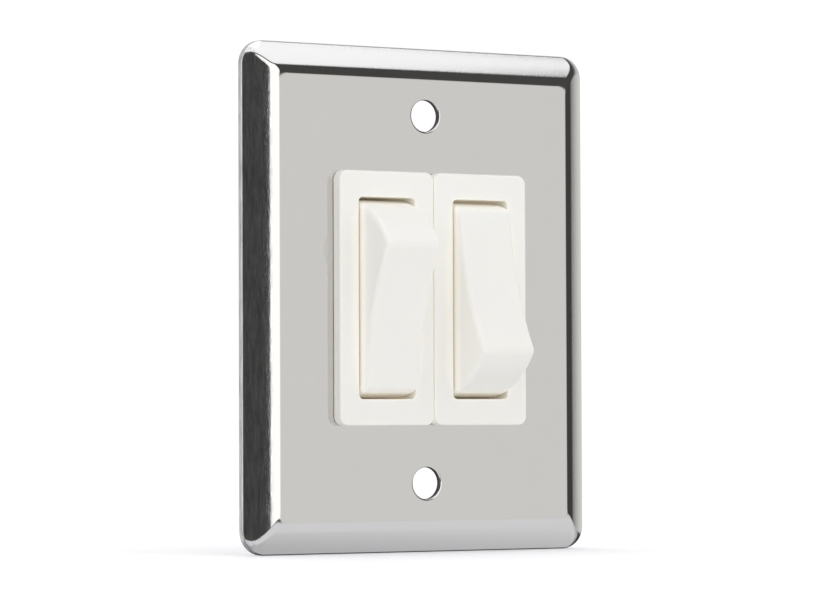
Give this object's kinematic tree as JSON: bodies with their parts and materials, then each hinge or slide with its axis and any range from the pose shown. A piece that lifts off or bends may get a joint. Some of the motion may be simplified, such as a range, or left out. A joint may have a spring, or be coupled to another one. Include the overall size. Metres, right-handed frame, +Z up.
{
  "type": "rocker wall switch",
  "caption": "Bevelled chrome wall plate with side-by-side snap-in paddle rockers, each with a sprung plunger, a see-saw contact bar and push-on blade terminals.",
  "frame": {"origin": "centre of the plane that the plate's rim rests on, which is the wall's surface", "axes": "+Z up, +X to the right seen from the front, +Y into the wall, so the rockers face -Y"},
  "size_m": [0.066, 0.0399, 0.083],
  "materials": {
    "chrome": "polished, with fine hairlines on the bevels",
    "white_nylon": "moulded satin",
    "black_phenolic": "moulded, slightly mottled",
    "brass": "rolled and stamped",
    "copper": "rolled and stamped",
    "silver": "coined, satin",
    "spring_steel": "drawn wire",
    "acetal": "moulded, smooth"
  },
  "bodies": {
    "root": {"face_plate": "chrome", "left_bezel_housing": "white_nylon", "left_base": "black_phenolic", "left_fixed_contact": "silver", "left_load_terminal": "brass", "left_common_terminal": "brass", "right_bezel_housing": "white_nylon", "right_base": "black_phenolic", "right_fixed_contact": "silver", "right_load_terminal": "brass", "right_common_terminal": "brass"},
    "left_rocker_body": {"left_rocker": "white_nylon", "left_spring": "spring_steel"},
    "left_plunger_body": {"left_plunger": "acetal"},
    "left_bar_body": {"left_contact_bar": "copper", "left_moving_contact": "silver"},
    "right_rocker_body": {"right_rocker": "white_nylon", "right_spring": "spring_steel"},
    "right_plunger_body": {"right_plunger": "acetal"},
    "right_bar_body": {"right_contact_bar": "copper", "right_moving_contact": "silver"}
  },
  "joints": [
    {"name": "left_rocker_hinge", "type": "hinge", "parent": "root", "child": "left_rocker_body", "pos_m": [-0.00875, -0.0014, 0], "axis": [1, 0, 0], "range_deg": [-34, 0]},
    {"name": "right_rocker_hinge", "type": "hinge", "parent": "root", "child": "right_rocker_body", "pos_m": [0.00935, -0.0014, 0], "axis": [1, 0, 0], "range_deg": [0, 34]},
    {"name": "left_bar_hinge", "type": "hinge", "parent": "root", "child": "left_bar_body", "pos_m": [-0.00875, 0.00875, 0], "axis": [1, 0, 0], "range_deg": [0, 12]},
    {"name": "right_bar_hinge", "type": "hinge", "parent": "root", "child": "right_bar_body", "pos_m": [0.00935, 0.00875, 0], "axis": [1, 0, 0], "range_deg": [-12, 0]},
    {"name": "left_plunger_slide", "type": "slide", "parent": "left_rocker_body", "child": "left_plunger_body", "axis": [0, 0.9563, 0.2924], "range_m": [-0.0008, 0], "stiffness_N_per_m": 500, "deforming": ["left_spring"]},
    {"name": "right_plunger_slide", "type": "slide", "parent": "right_rocker_body", "child": "right_plunger_body", "axis": [0, 0.9563, -0.2924], "range_m": [-0.0008, 0], "stiffness_N_per_m": 500, "deforming": ["right_spring"]}
  ],
  "couplings": [
    {"joint": "left_bar_hinge", "follows": "left_rocker_hinge", "ratio": -0.35294},
    {"joint": "right_bar_hinge", "follows": "right_rocker_hinge", "ratio": -0.35294}
  ]
}
